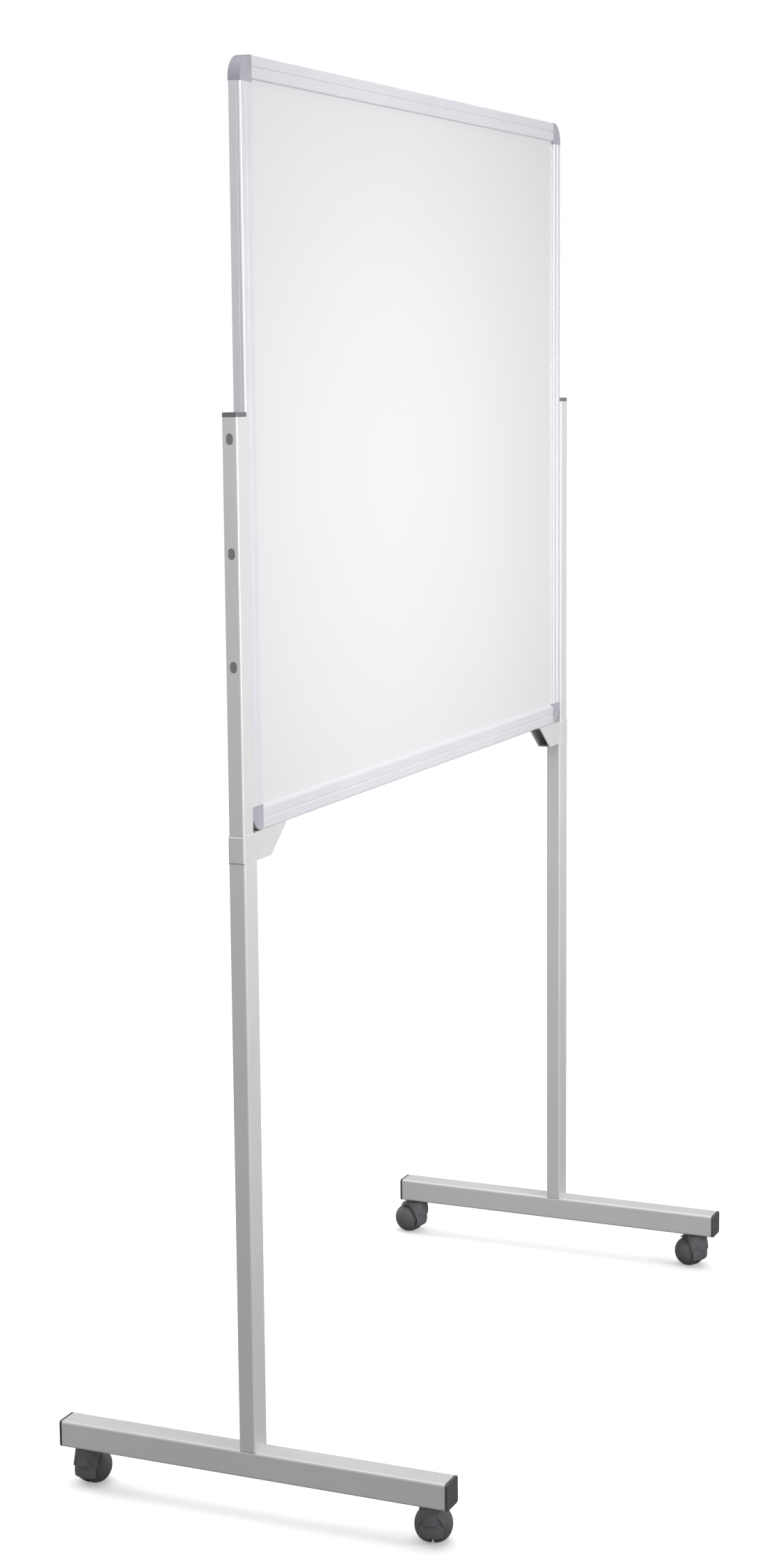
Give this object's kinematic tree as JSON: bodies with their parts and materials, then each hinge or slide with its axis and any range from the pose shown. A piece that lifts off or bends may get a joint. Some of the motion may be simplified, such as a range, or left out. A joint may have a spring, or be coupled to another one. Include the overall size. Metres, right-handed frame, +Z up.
{
  "type": "rolling whiteboard",
  "caption": "Wide whiteboard in a light metal frame with rounded plastic corners, held between two slim posts on long castered feet, with short angled brackets under the board.",
  "frame": {"origin": "on the floor, midway between the two feet and under the middle of the board", "axes": "+X across the board towards the right post seen from the writing side, -Y the writing side, +Z up"},
  "size_m": [1.2796, 0.6021, 1.948],
  "materials": {
    "writing_surface": "glossy white enamel",
    "core": "raw honeycomb board, hidden",
    "backing": "satin light grey",
    "frame": "satin anodised, pale silver",
    "corner_plastic": "satin grey with a faint violet tint",
    "tube": "satin silver grey powder coat",
    "cap_plastic": "moulded dark grey",
    "plug_plastic": "moulded mid grey",
    "screws": "zinc plated",
    "caster_steel": "plated",
    "hood_plastic": "moulded dark grey, slightly purple",
    "wheel_plastic": "moulded dark grey nylon"
  },
  "bodies": {
    "stand": {"writing_sheet": "writing_surface", "board_core": "core", "back_sheet": "backing", "frame_top": "frame", "frame_bottom": "frame", "frame_left": "frame", "frame_right": "frame", "corner_top_left": "corner_plastic", "corner_top_right": "corner_plastic", "corner_bottom_left": "corner_plastic", "corner_bottom_right": "corner_plastic", "upper_post_left": "tube", "upper_post_right": "tube", "post_cap_left": "cap_plastic", "post_cap_right": "cap_plastic", "board_screws_left": "screws", "board_screws_right": "screws", "slot_plugs_left": "plug_plastic", "slot_plugs_right": "plug_plastic", "bracket_left": "tube", "bracket_right": "tube", "bracket_screws_left": "screws", "bracket_screws_right": "screws", "lower_post_left": "tube", "lower_post_right": "tube", "post_plug_left": "cap_plastic", "post_plug_right": "cap_plastic", "foot_bolts_left": "screws", "foot_bolts_right": "screws", "foot_bar_left": "tube", "foot_bar_right": "tube", "caster_nuts_left": "screws", "caster_nuts_right": "screws", "foot_cap_left_front": "cap_plastic", "foot_cap_left_back": "cap_plastic", "foot_cap_right_front": "cap_plastic", "foot_cap_right_back": "cap_plastic", "caster_stem_left_front": "caster_steel", "caster_stem_left_back": "caster_steel", "caster_stem_right_front": "caster_steel", "caster_stem_right_back": "caster_steel"},
    "swivel_left_front": {"caster_hood_left_front": "hood_plastic", "caster_axle_left_front": "caster_steel"},
    "swivel_left_back": {"caster_hood_left_back": "hood_plastic", "caster_axle_left_back": "caster_steel"},
    "swivel_right_front": {"caster_hood_right_front": "hood_plastic", "caster_axle_right_front": "caster_steel"},
    "swivel_right_back": {"caster_hood_right_back": "hood_plastic", "caster_axle_right_back": "caster_steel"},
    "wheel_left_front_inner": {"wheel_left_front_inner": "wheel_plastic"},
    "wheel_left_front_outer": {"wheel_left_front_outer": "wheel_plastic"},
    "wheel_left_back_inner": {"wheel_left_back_inner": "wheel_plastic"},
    "wheel_left_back_outer": {"wheel_left_back_outer": "wheel_plastic"},
    "wheel_right_front_inner": {"wheel_right_front_inner": "wheel_plastic"},
    "wheel_right_front_outer": {"wheel_right_front_outer": "wheel_plastic"},
    "wheel_right_back_inner": {"wheel_right_back_inner": "wheel_plastic"},
    "wheel_right_back_outer": {"wheel_right_back_outer": "wheel_plastic"}
  },
  "joints": [
    {"name": "caster_swivel_left_front", "type": "hinge", "parent": "stand", "child": "swivel_left_front", "pos_m": [-0.611, -0.262, 0.053], "axis": [0, 0, 1], "continuous": true},
    {"name": "caster_swivel_left_back", "type": "hinge", "parent": "stand", "child": "swivel_left_back", "pos_m": [-0.611, 0.262, 0.053], "axis": [0, 0, 1], "continuous": true},
    {"name": "caster_swivel_right_front", "type": "hinge", "parent": "stand", "child": "swivel_right_front", "pos_m": [0.611, -0.262, 0.053], "axis": [0, 0, 1], "continuous": true},
    {"name": "caster_swivel_right_back", "type": "hinge", "parent": "stand", "child": "swivel_right_back", "pos_m": [0.611, 0.262, 0.053], "axis": [0, 0, 1], "continuous": true},
    {"name": "wheel_spin_left_front_inner", "type": "hinge", "parent": "swivel_left_front", "child": "wheel_left_front_inner", "pos_m": [-0.58965, -0.25668, 0.025], "axis": [-0.2419, 0.9703, 0], "continuous": true},
    {"name": "wheel_spin_left_front_outer", "type": "hinge", "parent": "swivel_left_front", "child": "wheel_left_front_outer", "pos_m": [-0.58965, -0.25668, 0.025], "axis": [-0.2419, 0.9703, 0], "continuous": true},
    {"name": "wheel_spin_left_back_inner", "type": "hinge", "parent": "swivel_left_back", "child": "wheel_left_back_inner", "pos_m": [-0.58901, 0.26277, 0.025], "axis": [-0.0349, 0.9994, 0], "continuous": true},
    {"name": "wheel_spin_left_back_outer", "type": "hinge", "parent": "swivel_left_back", "child": "wheel_left_back_outer", "pos_m": [-0.58901, 0.26277, 0.025], "axis": [-0.0349, 0.9994, 0], "continuous": true},
    {"name": "wheel_spin_right_front_inner", "type": "hinge", "parent": "swivel_right_front", "child": "wheel_right_front_inner", "pos_m": [0.622, -0.24295, 0.025], "axis": [-0.866, 0.5, 0], "continuous": true},
    {"name": "wheel_spin_right_front_outer", "type": "hinge", "parent": "swivel_right_front", "child": "wheel_right_front_outer", "pos_m": [0.622, -0.24295, 0.025], "axis": [-0.866, 0.5, 0], "continuous": true},
    {"name": "wheel_spin_right_back_inner", "type": "hinge", "parent": "swivel_right_back", "child": "wheel_right_back_inner", "pos_m": [0.61557, 0.28352, 0.025], "axis": [-0.9781, 0.2079, 0], "continuous": true},
    {"name": "wheel_spin_right_back_outer", "type": "hinge", "parent": "swivel_right_back", "child": "wheel_right_back_outer", "pos_m": [0.61557, 0.28352, 0.025], "axis": [-0.9781, 0.2079, 0], "continuous": true}
  ]
}
